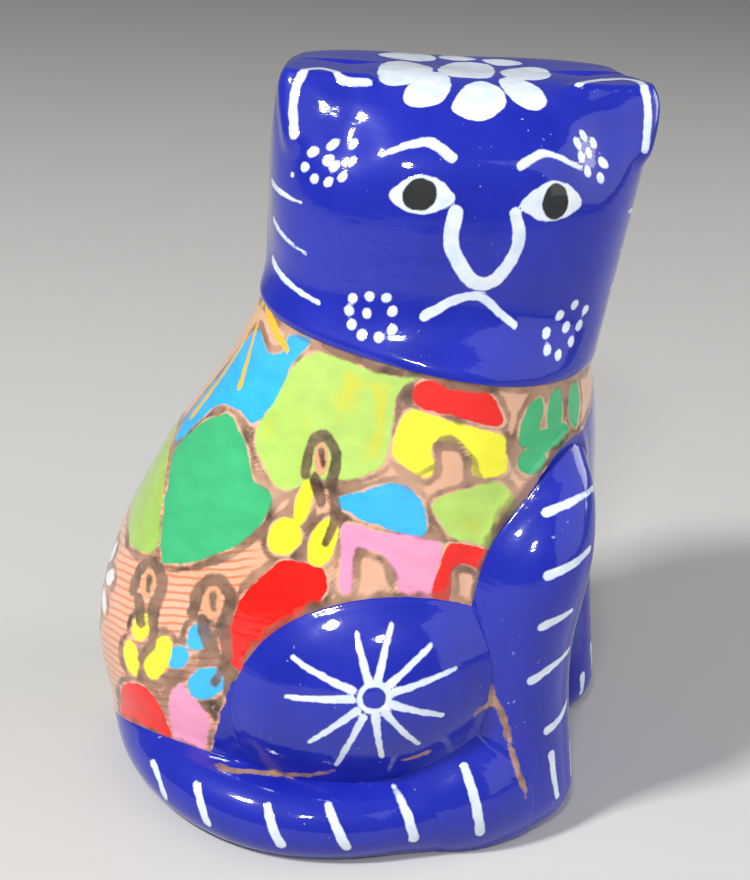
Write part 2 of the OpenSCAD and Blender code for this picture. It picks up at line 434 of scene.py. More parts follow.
def wall_piece(name, outer, inner):
    """A closed wall: outer grid, inner grid with the same columns, and a band or face along each edge."""
    rows, columns = outer.shape[:2]
    inner_rows = inner.shape[0]
    start = rows * columns
    faces = grid_faces(rows, columns, 0) + [f[::-1] for f in grid_faces(inner_rows, columns, start)]
    for low, high in ((0, start), ((rows - 1) * columns, start + (inner_rows - 1) * columns)):
        faces += [[low + c, high + c, high + c + 1, low + c + 1] for c in range(columns - 1)]
    for c in (0, columns - 1):
        edge = [r * columns + c for r in range(rows)]
        back = [start + r * columns + c for r in range(inner_rows - 1, -1, -1)]
        faces.append(edge + back)
    points = np.concatenate([outer.reshape(-1, 3), inner.reshape(-1, 3)])
    return add_mesh(name, points, faces)


def lump_piece(name, rings):
    """A closed lump: rings of points that wrap round, with the first and last ring filled in."""
    rows, columns = rings.shape[:2]
    faces = grid_faces(rows, columns, 0, wrap=True)
    faces.append(list(range(columns - 1, -1, -1)))
    faces.append(list(range((rows - 1) * columns, rows * columns)))
    return add_mesh(name, rings.reshape(-1, 3), faces)


# %% [markdown]
# ## Body halves
# The two halves were pressed separately and meet along the back and the chest. Their outside follows
# the stations, swells softly where a limb is luted on, and carries the hand-made unevenness. The points
# lie 0.6 mm apart, because the painting is stored on them later and has to stay crisp.

# %% Body halves
STEP = 0.6
WALL = 5.0
HALF_TURN = math.pi
BODY_GIRTH, BODY_MIDDLE = 142, np.array([0, 0, 45])
limbs_on_right = [near_haunch, near_leg, near_hind_paw, near_tail]
limbs_on_left = [near_left_haunch, near_left_leg, near_far_hind_paw, near_tail]


def body_half(name, start_angle, neighbours):
    """Half a turn of the body's wall."""
    t = even_rows(BODY_ROWS, STEP)
    angle = np.linspace(start_angle, start_angle + HALF_TURN, int(BODY_GIRTH / STEP))
    outer = loft(BODY_ROWS, t, angle)
    n = outward_normals(outer, BODY_MIDDLE)
    outer = crease(outer, n, neighbours)
    outer = onto_floor(outer + n * lumps(outer)[..., None])
    inner = onto_floor(loft(BODY_ROWS, even_rows(BODY_ROWS, 6), angle, inward=WALL))
    return wall_piece(name, outer, inner)


right_body = body_half("body_right", -math.pi, limbs_on_right)
left_body = body_half("body_left", 0.0, limbs_on_left)

# %% [markdown]
# ## Head halves and ears
# The head is a rounded box over the neck, and its two upper corners are pinched up and scooped for ears.
# On the real figure they are drawn out of the head's own wall. A cone stuck on for each ear would leave
# a seam that isn't there, so an ear is a height added to the head's surface, made of bell curves.

# %% The head's own directions
HEAD_MIDDLE = np.array([13.3, 5, 115])
HEAD_GIRTH = 120
# height, x and y along the line that the head leans on
HEAD_AXIS = np.array([
    (NECK, 12.4, 0), (101, 12.1, 3.8), (110, 12.6, 4.8), (120, 13.3, 5.2), (131, 14.1, 5.6),
])


def head_frame(p):
    """x across the face, y towards the back of the head, z up, about the head's leaning axis."""
    x = np.interp(p[..., 2], HEAD_AXIS[:, 0], HEAD_AXIS[:, 1])
    y = np.interp(p[..., 2], HEAD_AXIS[:, 0], HEAD_AXIS[:, 2])
    return turned(np.stack([p[..., 0] - x, p[..., 1] - y, p[..., 2]], axis=-1), HEAD_TURN)


# %% Ears as heights over the head
# crest of an ear from the forehead over the tip and down the side: across, back and up
EAR_CREST = np.array([
    (19.5, -13.5, 138.5), (24.5, -12, 139.5), (28.5, -10, 139.9), (31.6, -10.5, 138.5),
    (32.8, -13.5, 134.5), (32.4, -17, 129),
])
SCOOP_MIDDLE, SCOOP_REACH, SCOOP_DEPTH = (24, 131), (6.0, 7.5), 2.6
EAR_BULGE = dict(middle=(29.5, -11, 136.5), reach=8.5, height=2.2)
EAR_RISE = 1.2
CREST_HEIGHT, CREST_REACH = 1.2, 2.4
NECK_LIP, NECK_LIP_HEIGHT = 0.7, 2.2


def polyline_distance(q, line):
    """Distance from points q to a chain of straight pieces, in as many dimensions as they have."""
    best = np.full(q.shape[:-1], 1e9)
    for a, b in zip(line[:-1], line[1:]):
        a, b = np.array(a, float), np.array(b, float)
        along = np.clip(((q - a) @ (b - a)) / ((b - a) @ (b - a)), 0, 1)
        best = np.minimum(best, np.linalg.norm(q - a - along[..., None] * (b - a), axis=-1))
    return best


def ear_lift(q):
    """Height of the pinched ears over the plain head: bell curves for the swelling, crest and scoop."""
    lift = 0
    for side in (-1, 1):
        mirror = q * [side, 1, 1]
        far = np.linalg.norm(mirror - EAR_BULGE["middle"], axis=-1)
        lift = lift + EAR_BULGE["height"] * np.exp(-(far / EAR_BULGE["reach"]) ** 2)
        crest = polyline_distance(mirror, EAR_CREST)
        lift = lift + CREST_HEIGHT * np.exp(-(crest / CREST_REACH) ** 2)
        off = (mirror[..., [0, 2]] - SCOOP_MIDDLE) / SCOOP_REACH
        dip = SCOOP_DEPTH * np.exp(-np.sum(off**2, axis=-1)) * (mirror[..., 1] < 0)
        lift = lift - dip * (1 - np.exp(-(crest / CREST_REACH) ** 2))
    return lift


def ear_rise(q):
    """How far the corners of the crown are pulled up: a bell curve round the tip of each ear."""
    far = np.linalg.norm((q - EAR_BULGE["middle"]) * [0, 1, 1] + (np.abs(q) - 29.5) * [1, 0, 0], axis=-1)
    return EAR_RISE * np.exp(-(far / EAR_BULGE["reach"]) ** 2)


# %% The two halves of the head
def head_surface(t, angle):
    """The finished head: the loft, a lip over the neck, ears raised and scooped, and the unevenness."""
    p = loft(HEAD_ROWS, t, angle)
    p = p + ear_rise(head_frame(p))[..., None] * [0, 0, 1]
    n = outward_normals(p, HEAD_MIDDLE)
    first_row_height = HEAD[1][0] - NECK
    lip = np.maximum(1 - t * first_row_height / NECK_LIP_HEIGHT, 0)[:, None]
    q = head_frame(p)
    p = p + n * (ear_lift(q) - NECK_LIP * lip**2 + lumps(p))[..., None]
    top = np.minimum(p[..., 2], DRAWN_HEIGHT)
    return np.concatenate([p[..., :2], top[..., None]], axis=-1)


def head_half(name, start_angle):
    """Half a turn of the head's wall. The inside stays under the crown by one wall."""
    angle = np.linspace(start_angle, start_angle + HALF_TURN, int(HEAD_GIRTH / STEP))
    outer = head_surface(even_rows(HEAD_ROWS, STEP), angle)
    inner = loft(HEAD_ROWS, even_rows(HEAD_ROWS, 5), angle, inward=WALL)
    inner[..., 2] -= WALL * (inner[..., 2] - NECK).clip(0) / (DRAWN_HEIGHT - NECK)
    return wall_piece(name, outer, inner)


face = head_half("head_face", HEAD_TURN - math.pi)
back_of_head = head_half("head_back", HEAD_TURN)

# %% [markdown]
# ## Limbs
# Haunches and hind paws are flattened balls of clay, and front legs and tail are rolls. All were pressed
# on to the body while wet. Metaballs would melt them into it, but then each would lose its own mesh, so
# each is a set of rings that swells towards its neighbours and follows the body's wall at its back.

# %% A limb's surface
def ellipsoid_rings(shape, rows, columns):
    """Rings of an ellipsoid whose poles lie on its own y axis, so the fine rows face the flank."""
    polar = np.linspace(0, math.pi, rows)[:, None]
    round_ = np.linspace(0, 2 * math.pi, columns, endpoint=False)[None]
    unit = np.stack([np.sin(polar) * np.cos(round_), -np.cos(polar) + 0 * round_,
                     np.sin(polar) * np.sin(round_)], axis=-1)
    return leaned(turned(unit * shape["radii"], -shape["turn"]), shape["lean"]) + shape["middle"]


def limb_surface(rings, middle, neighbours, body_reach=2.6):
    """Rings with soft creases and unevenness, their back brought out to the body's wall."""
    n = outward_normals(rings, middle)
    p = crease(rings, n, neighbours + [within(body_reach, body_distance)])
    p = p + n * lumps(p)[..., None]
    return onto_floor(out_of_body(p))


# %% Haunches and hind paws
HAUNCH_ROWS = 150
HAUNCH_EDGE = 1.9


def haunch(name, shape, side, neighbours):
    """The outer part of an ellipsoid: rings from its pole to an angle a little past its girth."""
    rings = ellipsoid_rings(shape, HAUNCH_ROWS, 220)
    rings = rings[np.linspace(0, math.pi, HAUNCH_ROWS) < HAUNCH_EDGE]
    to_side = (1, -side, 1)
    p = limb_surface(rings * to_side, np.array(shape["middle"]) * to_side, neighbours, HAUNCH_CREASE)
    return lump_piece(name, p)


def lying_paw(name, shape, neighbours):
    rings = ellipsoid_rings(shape, 110, 130)
    return lump_piece(name, limb_surface(rings, np.array(shape["middle"]), neighbours))


by_right_haunch = [near_leg, within(5, near_hind_paw), within(4, near_tail)]
by_right_paw = [within(4, near_leg), within(5, near_haunch), within(9, near_tail)]
right_haunch = haunch("haunch_right", HAUNCH, -1, by_right_haunch)
left_haunch = haunch("haunch_left", HAUNCH, 1, [near_left_leg, near_far_hind_paw])
right_hind_paw = lying_paw("hind_paw_right", HIND_PAW, by_right_paw)
left_hind_paw = lying_paw("hind_paw_left", FAR_HIND_PAW, [near_left_leg, near_left_haunch])

# %% Front legs
SOLE = 11.0


def leg_rings(stations, count, columns):
    """Level rings down the leg's leaning line; below the paw's middle the radius closes like a ball."""
    z = np.linspace(0, stations[-1, 2], count)
    line = rows_at(stations, np.linspace(0, len(stations) - 1, 400))
    x, y, r = (np.interp(z, line[:, 2], line[:, k]) for k in (0, 1, 3))
    r = r * np.sqrt(1 - (np.maximum(stations[0, 2] - z, 0) / SOLE) ** 2)
    angle = np.linspace(0, 2 * math.pi, columns, endpoint=False)
    return np.stack([x[:, None] + r[:, None] * np.cos(angle), y[:, None] + r[:, None] * np.sin(angle),
                     z[:, None] + 0 * angle], axis=-1)


def front_leg(name, stations, neighbours):
    rings = leg_rings(stations, 150, 150)
    return lump_piece(name, limb_surface(rings, stations[2, :3], neighbours))


right_leg = front_leg("front_leg_right", LEG, [near_haunch, within(4, near_hind_paw), near_left_leg])
left_leg = front_leg("front_leg_left", LEFT_LEG, [near_left_haunch, near_far_hind_paw, near_leg])


# %% Tail
def tail_rings(count, columns):
    """Rings square to the ellipse that the tail lies on."""
    rows = rows_at(TAIL, np.linspace(0, len(TAIL) - 1, count))
    a = np.radians(rows[:, 0])
    out = np.stack([np.cos(a) / TAIL_ELLIPSE[0], np.sin(a) / TAIL_ELLIPSE[1], 0 * a], axis=-1)
    out /= np.linalg.norm(out, axis=-1, keepdims=True)
    b = np.linspace(0, 2 * math.pi, columns, endpoint=False)[None, :, None]
    up = np.array([0, 0, 1.0])
    ring = np.cos(b) * out[:, None] + np.sin(b) * up
    return tail_middle(rows[:, 0])[:, None] + rows[:, 1][:, None, None] * ring


by_tail = [within(4, near_haunch), within(9, near_hind_paw), near_leg, body_distance]
tail_p = tail_rings(320, 90)
tail_n = outward_normals(tail_p, tail_p.mean(axis=1, keepdims=True))
tail_p = crease(tail_p, tail_n, by_tail)
tail_p = onto_floor(out_of_body(tail_p + tail_n * lumps(tail_p)[..., None]))
tail = lump_piece("tail_roll", tail_p)

# %% [markdown]
# ## The slab that closes the foot
# A disc of clay with a hole, through which steam and hot air leave in the kiln. It fits inside the foot
# of the wall. A boolean cut would do, but four joined rings give the same disc with clean edges.

# %% Slab with its vent
SLAB, VENT = 6.0, 5.0
SLAB_SIDES = 120


def slab_piece():
    """Four rings joined in a loop: vent and rim at the floor, then rim and vent at the slab's top."""
    angle = np.linspace(0, 2 * math.pi, SLAB_SIDES, endpoint=False)
    rim = loft(BODY_ROWS, np.array([0.0]), angle, inward=WALL)[0] * [1, 1, 0]
    hole = np.stack([VENT * np.cos(angle), VENT * np.sin(angle), 0 * angle], axis=-1)
    lift = np.array([0, 0, SLAB])
    rings = np.stack([hole, rim, rim + lift, hole + lift, hole])
    return add_mesh("slab", rings.reshape(-1, 3), grid_faces(5, SLAB_SIDES, 0, wrap=True))


slab = slab_piece()

# %% [markdown]
# ## Painting by hand
# The painter fills outlined patches with a loaded brush and then draws white lines over the blue. Each
# colour is a layer. For every point of the clay, a layer holds how far in millimetres that point lies
# outside the nearest patch or stroke of its colour, so an edge stays crisp however large it is drawn.
# The finish later lets the edge waver a little, as wet paint does.

# %% Curves and filled outlines
FAR_OFF = 8.0


def closed_curve(points, steps=6):
    """Catmull-Rom curve that runs round through all the points and back to the first."""
    p = np.array(points, float)
    rows = np.concatenate([p[-1:], p, p[:2]])
    return rows_at(rows, np.linspace(1, len(p) + 1, len(p) * steps + 1))


def open_curve(points, steps=6):
    """Catmull-Rom curve from the first point to the last."""
    p = np.array(points, float)
    return rows_at(p, np.linspace(0, len(p) - 1, (len(p) - 1) * steps + 1))


def region_distance(q, line):
    """Distance to a closed line, negative inside: there a level ray crosses it an odd number of times."""
    inside = np.zeros(len(q), bool)
    for (ax, ay), (bx, by) in zip(line[:-1], line[1:]):
        if ay != by:
            crosses = (ay > q[:, 1]) != (by > q[:, 1])
            inside ^= crosses & (q[:, 0] < ax + (bx - ax) * (q[:, 1] - ay) / (by - ay))
    return np.where(inside, -1, 1) * polyline_distance(q, line)


def near_box(q, line):
    """Which points are near enough to a line to need its distance."""
    return np.all((q > line.min(axis=0) - FAR_OFF) & (q < line.max(axis=0) + FAR_OFF), axis=-1)


def patches(q, outlines):
    """Distance to the nearest filled outline."""
    best = np.full(len(q), FAR_OFF)
    for outline in outlines:
        line = closed_curve(outline)
        k = near_box(q, line)
        best[k] = np.minimum(best[k], region_distance(q[k], line))
    return best


# %% Strokes, dots and ovals
def strokes(q, lines):
    """Brush strokes: a line of points, and the half width of the brush where it lands and lifts."""
    best = np.full(len(q), FAR_OFF)
    for points, landing, lifting in lines:
        line = open_curve(points)
        k = near_box(q, line)
        run = np.linspace(landing, lifting, len(line) - 1)
        for a, b, half in zip(line[:-1], line[1:], run):
            best[k] = np.minimum(best[k], polyline_distance(q[k], [a, b]) - half)
    return best


def dots(q, places):
    """Round dabs of the brush: a place and a radius for each."""
    best = np.full(len(q), FAR_OFF)
    for place, radius in places:
        best = np.minimum(best, np.linalg.norm(q - np.array(place, float), axis=-1) - radius)
    return best


def oval(middle, long, short, lean):
    """Eight points round an ellipse that leans by an angle in degrees."""
    a = np.linspace(0, 2 * math.pi, 8, endpoint=False)
    c, s = math.cos(math.radians(lean)), math.sin(math.radians(lean))
    x, y = long * np.cos(a), short * np.sin(a)
    return np.stack([middle[0] + c * x - s * y, middle[1] + s * x + c * y], axis=-1)


def places_of(piece):
    """Positions of a piece's points in drawn millimetres."""
    flat = np.empty(len(piece.data.vertices) * 3)
    piece.data.vertices.foreach_get("co", flat)
    return flat.reshape(-1, 3) / MM


def store(piece, layers):
    """Keep each layer as a number on every point, for the finishes to read by name."""
    for name, values in layers.items():
        layer = piece.data.attributes.new(name, "FLOAT", "POINT")
        layer.data.foreach_set("value", np.clip(values, -FAR_OFF, FAR_OFF).astype(np.float32))


# %% [markdown]
# ## Unrolling the clay
# A painter turns the figure in the hand, so a pattern runs round it. Millimetres round the side and
# millimetres up are the places that the outlines below use. A UV map could hold the same two numbers.

# %% Where a point of the flank or head lies, unrolled
FLANK_RADIUS = 42.0


def unrolled_flank(p):
    """Across: millimetres from the middle of the side towards the chest. Up: the height."""
    across = FLANK_RADIUS * (math.pi / 2 - np.abs(np.arctan2(p[:, 1], p[:, 0] - 2.5)))
    return np.stack([across, p[:, 2]], axis=-1)


girth_angle = np.linspace(-math.pi, math.pi, 2881)
# the head's section at eye level: half width, half depth, squareness
girth_r = section_radius(girth_angle, 35, 30, 2.8, 0)
girth_run = np.hypot(np.diff(girth_r * np.cos(girth_angle)), np.diff(girth_r * np.sin(girth_angle)))
girth = np.concatenate([[0], np.cumsum(girth_run)])
girth -= np.interp(-math.pi / 2, girth_angle, girth)


def unrolled_head(p):
    """Across: millimetres round the head from the middle of the face. Up: the height."""
    q = head_frame(p)
    return np.stack([np.interp(np.arctan2(q[:, 1], q[:, 0]), girth_angle, girth), p[:, 2]], axis=-1)


# %% [markdown]
# ## The village on the flank
# Below the neck the painter has put a little village: sun rays on a sky, hills, houses with arches, a
# garden plant, and three people in bright skirts. Every patch was outlined first in a thin brown wash,
# which still shows between the colours. The left side has the same kinds of motif in another order. An
# outline has only the points that its shape needs, and a curve runs through them.

# %% Patches of the village
FLANK = {
    "sky": [
        [(-30.5, 91), (-25, 89), (-19, 90.5), (-17, 94), (-10, 94), (-15, 88.5), (-18.5, 82), (-24, 76),
         (-30.5, 77), (-40, 75.5), (-44, 71), (-48, 65), (-52, 71), (-46, 84), (-36, 91)],
        [(0.5, 66), (6, 68), (13, 70.5), (17, 70), (20, 67.5), (21, 63), (20, 61), (16, 61.5),
         (6.5, 63.5)],
        oval((-22.5, 36.3), 3.0, 2.2, 70), oval((-25.5, 31), 2.6, 2.0, 60),
        oval((-19.5, 27.8), 4.2, 2.8, 50),
    ],
    "lime": [
        [(-9, 92), (-2, 92.5), (4, 91.5), (13, 90.5), (18.5, 91.5), (13.5, 87), (12.5, 78), (11, 73.5),
         (3.5, 70), (-4, 69), (-12, 66), (-18, 69.5), (-22.5, 74), (-20, 80), (-15, 88)],
        [(22, 67), (24, 69), (32.5, 71.5), (36, 71), (38, 66.5), (38, 63), (35, 59.5), (26.5, 61),
         (24, 63.5)],
    ],
    "emerald": [
        [(-34, 75.5), (-29.5, 74.5), (-24.5, 72), (-19.5, 66.5), (-14.5, 65), (-14, 62.5), (-16, 58),
         (-20, 54), (-26.5, 49.5), (-32.5, 47), (-35, 47), (-38, 52.5), (-43, 60.5), (-46.5, 65),
         (-42, 71.5)],
        oval((41, 82.3), 4.8, 2.2, 68), oval((46.5, 83.6), 4.6, 2.1, 80),
        oval((52.5, 83.6), 4.6, 2.0, 84),
        oval((45, 78.6), 5.0, 2.2, 10), oval((41.3, 75), 2.9, 2.5, 0),
    ],
    "olive": [
        [(-59, 66), (-51, 64.5), (-44, 59.5), (-37, 48.5), (-44.5, 45), (-53.5, 47.5), (-60, 50)],
    ],
    "red": [
        [(16.5, 87.5), (17.5, 89.5), (20, 90.5), (27, 91), (32, 88.5), (35, 84), (34.5, 82.3), (32, 82.5),
         (26, 84), (20, 85), (17.5, 86)],
        [(-8, 54), (-2, 53.8), (0.5, 52.5), (1, 49), (-2, 45), (-6, 42), (-9, 37), (-13, 32), (-18, 35.5),
         (-17, 41), (-15, 47), (-10, 53)],
        [(-34, 21.5), (-31, 21.5), (-28, 18.5), (-26, 10.5), (-28, 8.5), (-40, 8), (-41.5, 12),
         (-38.5, 18)],
        [(25.5, 60), (30, 59.5), (34.3, 57.5), (34, 54.5), (32.3, 52.8), (30.5, 55.2), (26.5, 55.7),
         (26, 50), (24.5, 48), (22.3, 50), (24, 56.5)],
    ],
    "yellow": [
        [(16, 84.5), (22, 84), (30, 82), (35, 80.5), (36, 77), (36, 73.3), (30, 72.8), (29, 76.2),
         (26.5, 79), (21.5, 79), (22, 74.5), (20.5, 72.3), (16.5, 73.7), (13, 76), (14, 80.5)],
        oval((-6.4, 64.6), 4.4, 2.0, 84), oval((-9.4, 58), 3.8, 3.4, 20), oval((-0.8, 58), 4.8, 2.9, 70),
        oval((-34.7, 33.1), 3.0, 2.2, 75), oval((-35.6, 26.1), 3.6, 2.2, 105),
        oval((-29.7, 29.1), 5.0, 2.5, 75),
    ],
    "pink": [
        [(3.6, 62), (11.5, 61.5), (18, 61.3), (24, 60), (23.5, 55.7), (22.5, 51.5), (21, 49.7),
         (16.5, 49.5), (14.5, 55), (12, 57.3), (8, 58), (6.5, 56), (6.3, 50), (3.8, 50), (3.4, 56)],
        [(-24.7, 26), (-22.5, 25), (-18, 20.5), (-19, 17), (-19, 12.5), (-21, 9), (-25, 10),
         (-26.5, 19.5)],
    ],
}

# %% Rays, people, blots and the edge of the blue
# each stroke: its points, and the brush's half width where it lands and where it lifts
RAYS = [
    ([(-34, 97), (-26, 94), (-17.5, 91)], 1.5, 0.7),
    ([(-37, 96), (-35.5, 88), (-34, 81)], 0.6, 1.1),
    ([(-39, 96), (-45.5, 83), (-49, 71)], 0.7, 1.0),
    ([(-48, 94), (-55, 82), (-59, 73)], 0.9, 0.8),
]
# heads with hair, each a place and a size
PEOPLE = [((-3.2, 74.2), 4.2), ((-36, 42.4), 4.0), ((-21, 44.4), 4.2)]
# where the blue of the leg and haunch ends on the body, closed below the foot
LEG_EDGE = [(56, 78), (47.5, 76), (43, 71), (39, 65), (36.3, 58.7), (33.6, 51.6), (32, 44.7), (31.5, 38),
            (33, 31), (20, 33), (0, 33), (-13, 31), (-15.8, 24), (-17.6, 16.5), (-18.5, 10), (-19, -4),
            (40, -4), (75, -4), (75, 78)]
# dark blots of wash just under the neck
BLOTS = [
    ([(-5, 94.3), (-1, 93.3), (4.5, 92.5)], 1.3, 0.7),
    ([(4.5, 92.5), (9, 91.7), (14, 91.3)], 0.5, 0.7),
    ([(-46, 95.5), (-38, 95.6), (-31, 95.3)], 0.9, 0.5),
    ([(24, 89.7), (32, 89.3)], 0.4, 0.8),
]
# motifs that only the left side has
LEFT_EXTRA = {
    "yellow": [
        oval((-36, 30), 5.0, 2.4, 80), oval((-30, 32), 4.6, 2.3, 100), oval((-33, 36.5), 2.6, 2.0, 90),
    ],
    "red": [oval((-24, 20), 6.5, 4.5, 60)],
    "sky": [oval((-22, 35), 4.0, 2.5, 70), oval((-47, 12), 6.5, 3.5, 0)],
    "pink": [oval((-37, 17), 6.5, 5.0, 80)],
}
DAISY, DAISY_RADIUS = (-56, 32), 6.6
petal_angles = np.linspace(0.5, 0.5 + 2 * math.pi, 8, endpoint=False)
petal_middles = np.stack([np.cos(petal_angles), np.sin(petal_angles)], axis=-1) * DAISY_RADIUS + DAISY
# a daisy and a hill near the middle of the back, on both sides
BACK = {
    "white": [oval(m, 2.9, 1.6, math.degrees(a)) for m, a in zip(petal_middles, petal_angles)],
    "yellow": [oval(DAISY, 1.9, 1.9, 0)],
    "lime": [oval((-58, 14), 8.0, 4.5, 10)],
}
ARCHES = [
    ([(17, 72), (22.3, 75), (23, 79.3), (27, 79), (29.5, 76), (31, 72.5)], 0.7, 0.6),
    ([(6.5, 50), (7, 57), (11.5, 57), (14.5, 54.5), (16, 50)], 0.7, 0.6),
    ([(26, 48), (26.5, 55), (30.5, 54.5), (31.5, 51)], 0.6, 0.5),
]
print("patches in the village:", sum(len(v) for v in FLANK.values()))

# %% Layers of the body
# units in which the two places are stored, so that they stay small numbers
ACROSS_UNIT, UP_UNIT = 10, 20
OUTLINE_GAP, OUTLINE_HALF = 0.9, 0.8
JOIN_HALF, NECK_BAND = 0.7, 2.0


def people_layers(q):
    """Hair and arms in a broad dab of thin wash, a bare face left inside it, and a nose in dark wash."""
    hair, faces, noses = [], [], []
    for (x, y), r in PEOPLE:
        arch = [(x - 0.9 * r, y - 1.0 * r), (x - 0.8 * r, y + 0.2 * r), (x, y + 0.75 * r),
                (x + 0.8 * r, y + 0.1 * r), (x + 0.7 * r, y - 1.1 * r)]
        hair.append((arch, 1.2, 1.4))
        hair.append(([(x - 0.3 * r, y - 1.2 * r), (x + 0.2 * r, y - 2.1 * r)], 1.4, 1.2))
        arm = [(x + 0.7 * r, y - 1.1 * r), (x + 1.1 * r, y - 2.6 * r), (x + 0.7 * r, y - 3.8 * r)]
        hair.append((arm, 1.3, 0.8))
        faces.append(oval((x - 0.05 * r, y - 0.25 * r), 0.75 * r, 0.45 * r, 96))
        noses.append(([(x - 0.1 * r, y + 0.05 * r), (x + 0.1 * r, y - 0.5 * r)], 0.75, 0.6))
    return {"hair": strokes(q, hair), "face": patches(q, faces), "nose": strokes(q, noses)}


def flank_layers(p, side):
    """All the layers of one body half. The left half reads the village the other way round."""
    own = unrolled_flank(p)
    q = own if side < 0 else own * [-1, 1] - [6, 0]
    layers = {name: patches(q, outlines) for name, outlines in FLANK.items()}
    layers["white"] = patches(own, BACK["white"])
    for name in ("yellow", "lime"):
        layers[name] = np.minimum(layers[name], patches(own, BACK[name]))
    if side > 0:
        for name, outlines in LEFT_EXTRA.items():
            layers[name] = np.minimum(layers[name], patches(own, outlines))
    everything = np.min([layers[name] for name in layers], axis=0)
    edge = patches(own, [LEG_EDGE])
    everything = np.minimum(everything, edge)
    layers["cobalt"] = edge
    layers["gold"] = np.minimum(strokes(q, RAYS), dots(q, [((44.5, 72.5), 0.9)]))
    layers.update(people_layers(q))
    outline = np.abs(everything - OUTLINE_GAP) - OUTLINE_HALF
    outline = np.minimum(outline, strokes(q, ARCHES))
    neck_slope = BODY[-1][-1]
    neck_gap = NECK + neck_slope * (12 - p[:, 0]) - p[:, 2]
    joins = [near_haunch, near_leg, near_tail] if side < 0 else [near_left_haunch, near_left_leg]
    for near in joins:
        outline = np.minimum(outline, near(p) - JOIN_HALF)
    layers["outline"] = np.minimum(outline, neck_gap - NECK_BAND)
    layers["blot"] = strokes(own, BLOTS)
    layers["across"], layers["up"] = own[:, 0] / ACROSS_UNIT, own[:, 1] / UP_UNIT
    return layers


for piece, side in ((right_body, -1), (left_body, 1)):
    store(piece, flank_layers(places_of(piece), side))
    print(piece.name, "layers", len(piece.data.attributes))

# %% [markdown]
# ## White lines on the blue
# The face is drawn with the same loaded white brush as everything else on the blue: brows, eyes, one
# long stroke for the nose, a mouth, whiskers, rings of dots on the cheeks and a flower on the crown.
# A star sits on each haunch and short ticks run down the legs and along the tail. Every stroke has a
# width where the brush lands and another where it lifts, which is what makes it look drawn.

# %% Brows, nose, mouth, whiskers and eyes
BROWS = [([(-18.5, 128.3), (-13.5, 130.3), (-9.5, 130.6), (-5, 128.5)], 0.5, 0.8),
         ([(8, 127.7), (10.5, 129), (14, 129.7), (20.5, 127.2)], 0.8, 0.4)]
NOSE = [([(-3, 119.5), (-3, 114.5), (-0.5, 109.8), (2.8, 107), (5.8, 107.7), (8.2, 111.5), (9, 115.5),
          (7.6, 119.7)], 1.35, 1.1)]
MOUTH = [([(-5.6, 101), (-3, 102.6), (0, 104.2), (2.8, 104.7), (5.2, 103.9), (8, 101.6), (11.4, 99.4)],
          0.95, 0.6)]
WHISKERS = [([(-46, 118.6), (-32, 118)], 0.7, 0.25), ([(-44, 112), (-38, 110.6), (-30, 109)], 0.65, 0.25),
            ([(-45, 104.2), (-36, 102.6), (-26, 100.9)], 0.75, 0.35), ([(35, 118), (42, 117)], 0.3, 0.7),
            ([(37, 110), (45, 109.5)], 0.3, 0.7), ([(36, 103), (45, 103.5)], 0.3, 0.7)]
EYES = [[(-15.2, 122), (-12.8, 124.6), (-9.4, 125.6), (-5.8, 124.4), (-3.5, 121.8), (-6.2, 119.7),
         (-9.4, 119), (-12.9, 119.9)],
        [(8.4, 121.2), (10.8, 123.9), (14.2, 125.3), (18, 124.2), (20.5, 121.4), (17.8, 119.2),
         (14.4, 118.3), (10.8, 119.2)]]
PUPILS = [oval((-9.8, 122.3), 3.1, 2.8, 0), oval((15, 121.7), 2.55, 3.2, 0)]

# %% Dots on the cheeks, strokes on the ears, flower on the crown
UPPER_LEFT = [(-31.8, 127), (-29.3, 128.6), (-25.8, 129), (-24.2, 126.4), (-24.8, 123.8), (-27.2, 122.5),
              (-30, 122.7), (-32.5, 124.3), (-28.6, 126), (-27, 125.2)]
UPPER_RIGHT = [(21.4, 131.2), (24, 132.2), (26.2, 130.8), (21.4, 128.9), (23.9, 129.4), (26.9, 127.6),
               (22.2, 126.6), (25.2, 125.2)]
LOWER_LEFT = [(-19.2, 102.8), (-16.1, 103.6), (-13, 103.6), (-19.6, 100.6), (-16.2, 100.6),
              (-11.6, 101.4), (-19, 98.4), (-16.7, 96.9), (-13.6, 96.9), (-11.2, 98.3)]
LOWER_RIGHT = [(23.8, 102.3), (27.2, 100.8), (20.6, 100.6), (26.6, 98.2), (23, 98.4), (18.3, 97.8),
               (24.8, 95.8), (18.8, 95), (21.6, 94)]
CHEEKS = [(place, 0.95) for place in UPPER_LEFT + UPPER_RIGHT + LOWER_LEFT + LOWER_RIGHT]
CHEEKS.append(((-35.3, 122.4), 0.5))
EAR_STROKES = [
    [(-31.8, -18.5, 129.5), (-32.2, -17, 133), (-32, -15.5, 136), (-31, -14, 138.8), (-29.5, -12, 140),
     (-27, -10.5, 140), (-25, -13, 140), (-23.5, -15, 138.9), (-19, -15.4, 138.6)],
    [(19, -14, 139.9), (22, -11, 140), (25.5, -8.5, 140), (29, -7, 140), (31.2, -9, 140),
     (31.3, -13, 139.8), (31.9, -16.3, 134.5), (31.6, -18.4, 129.5)],
]
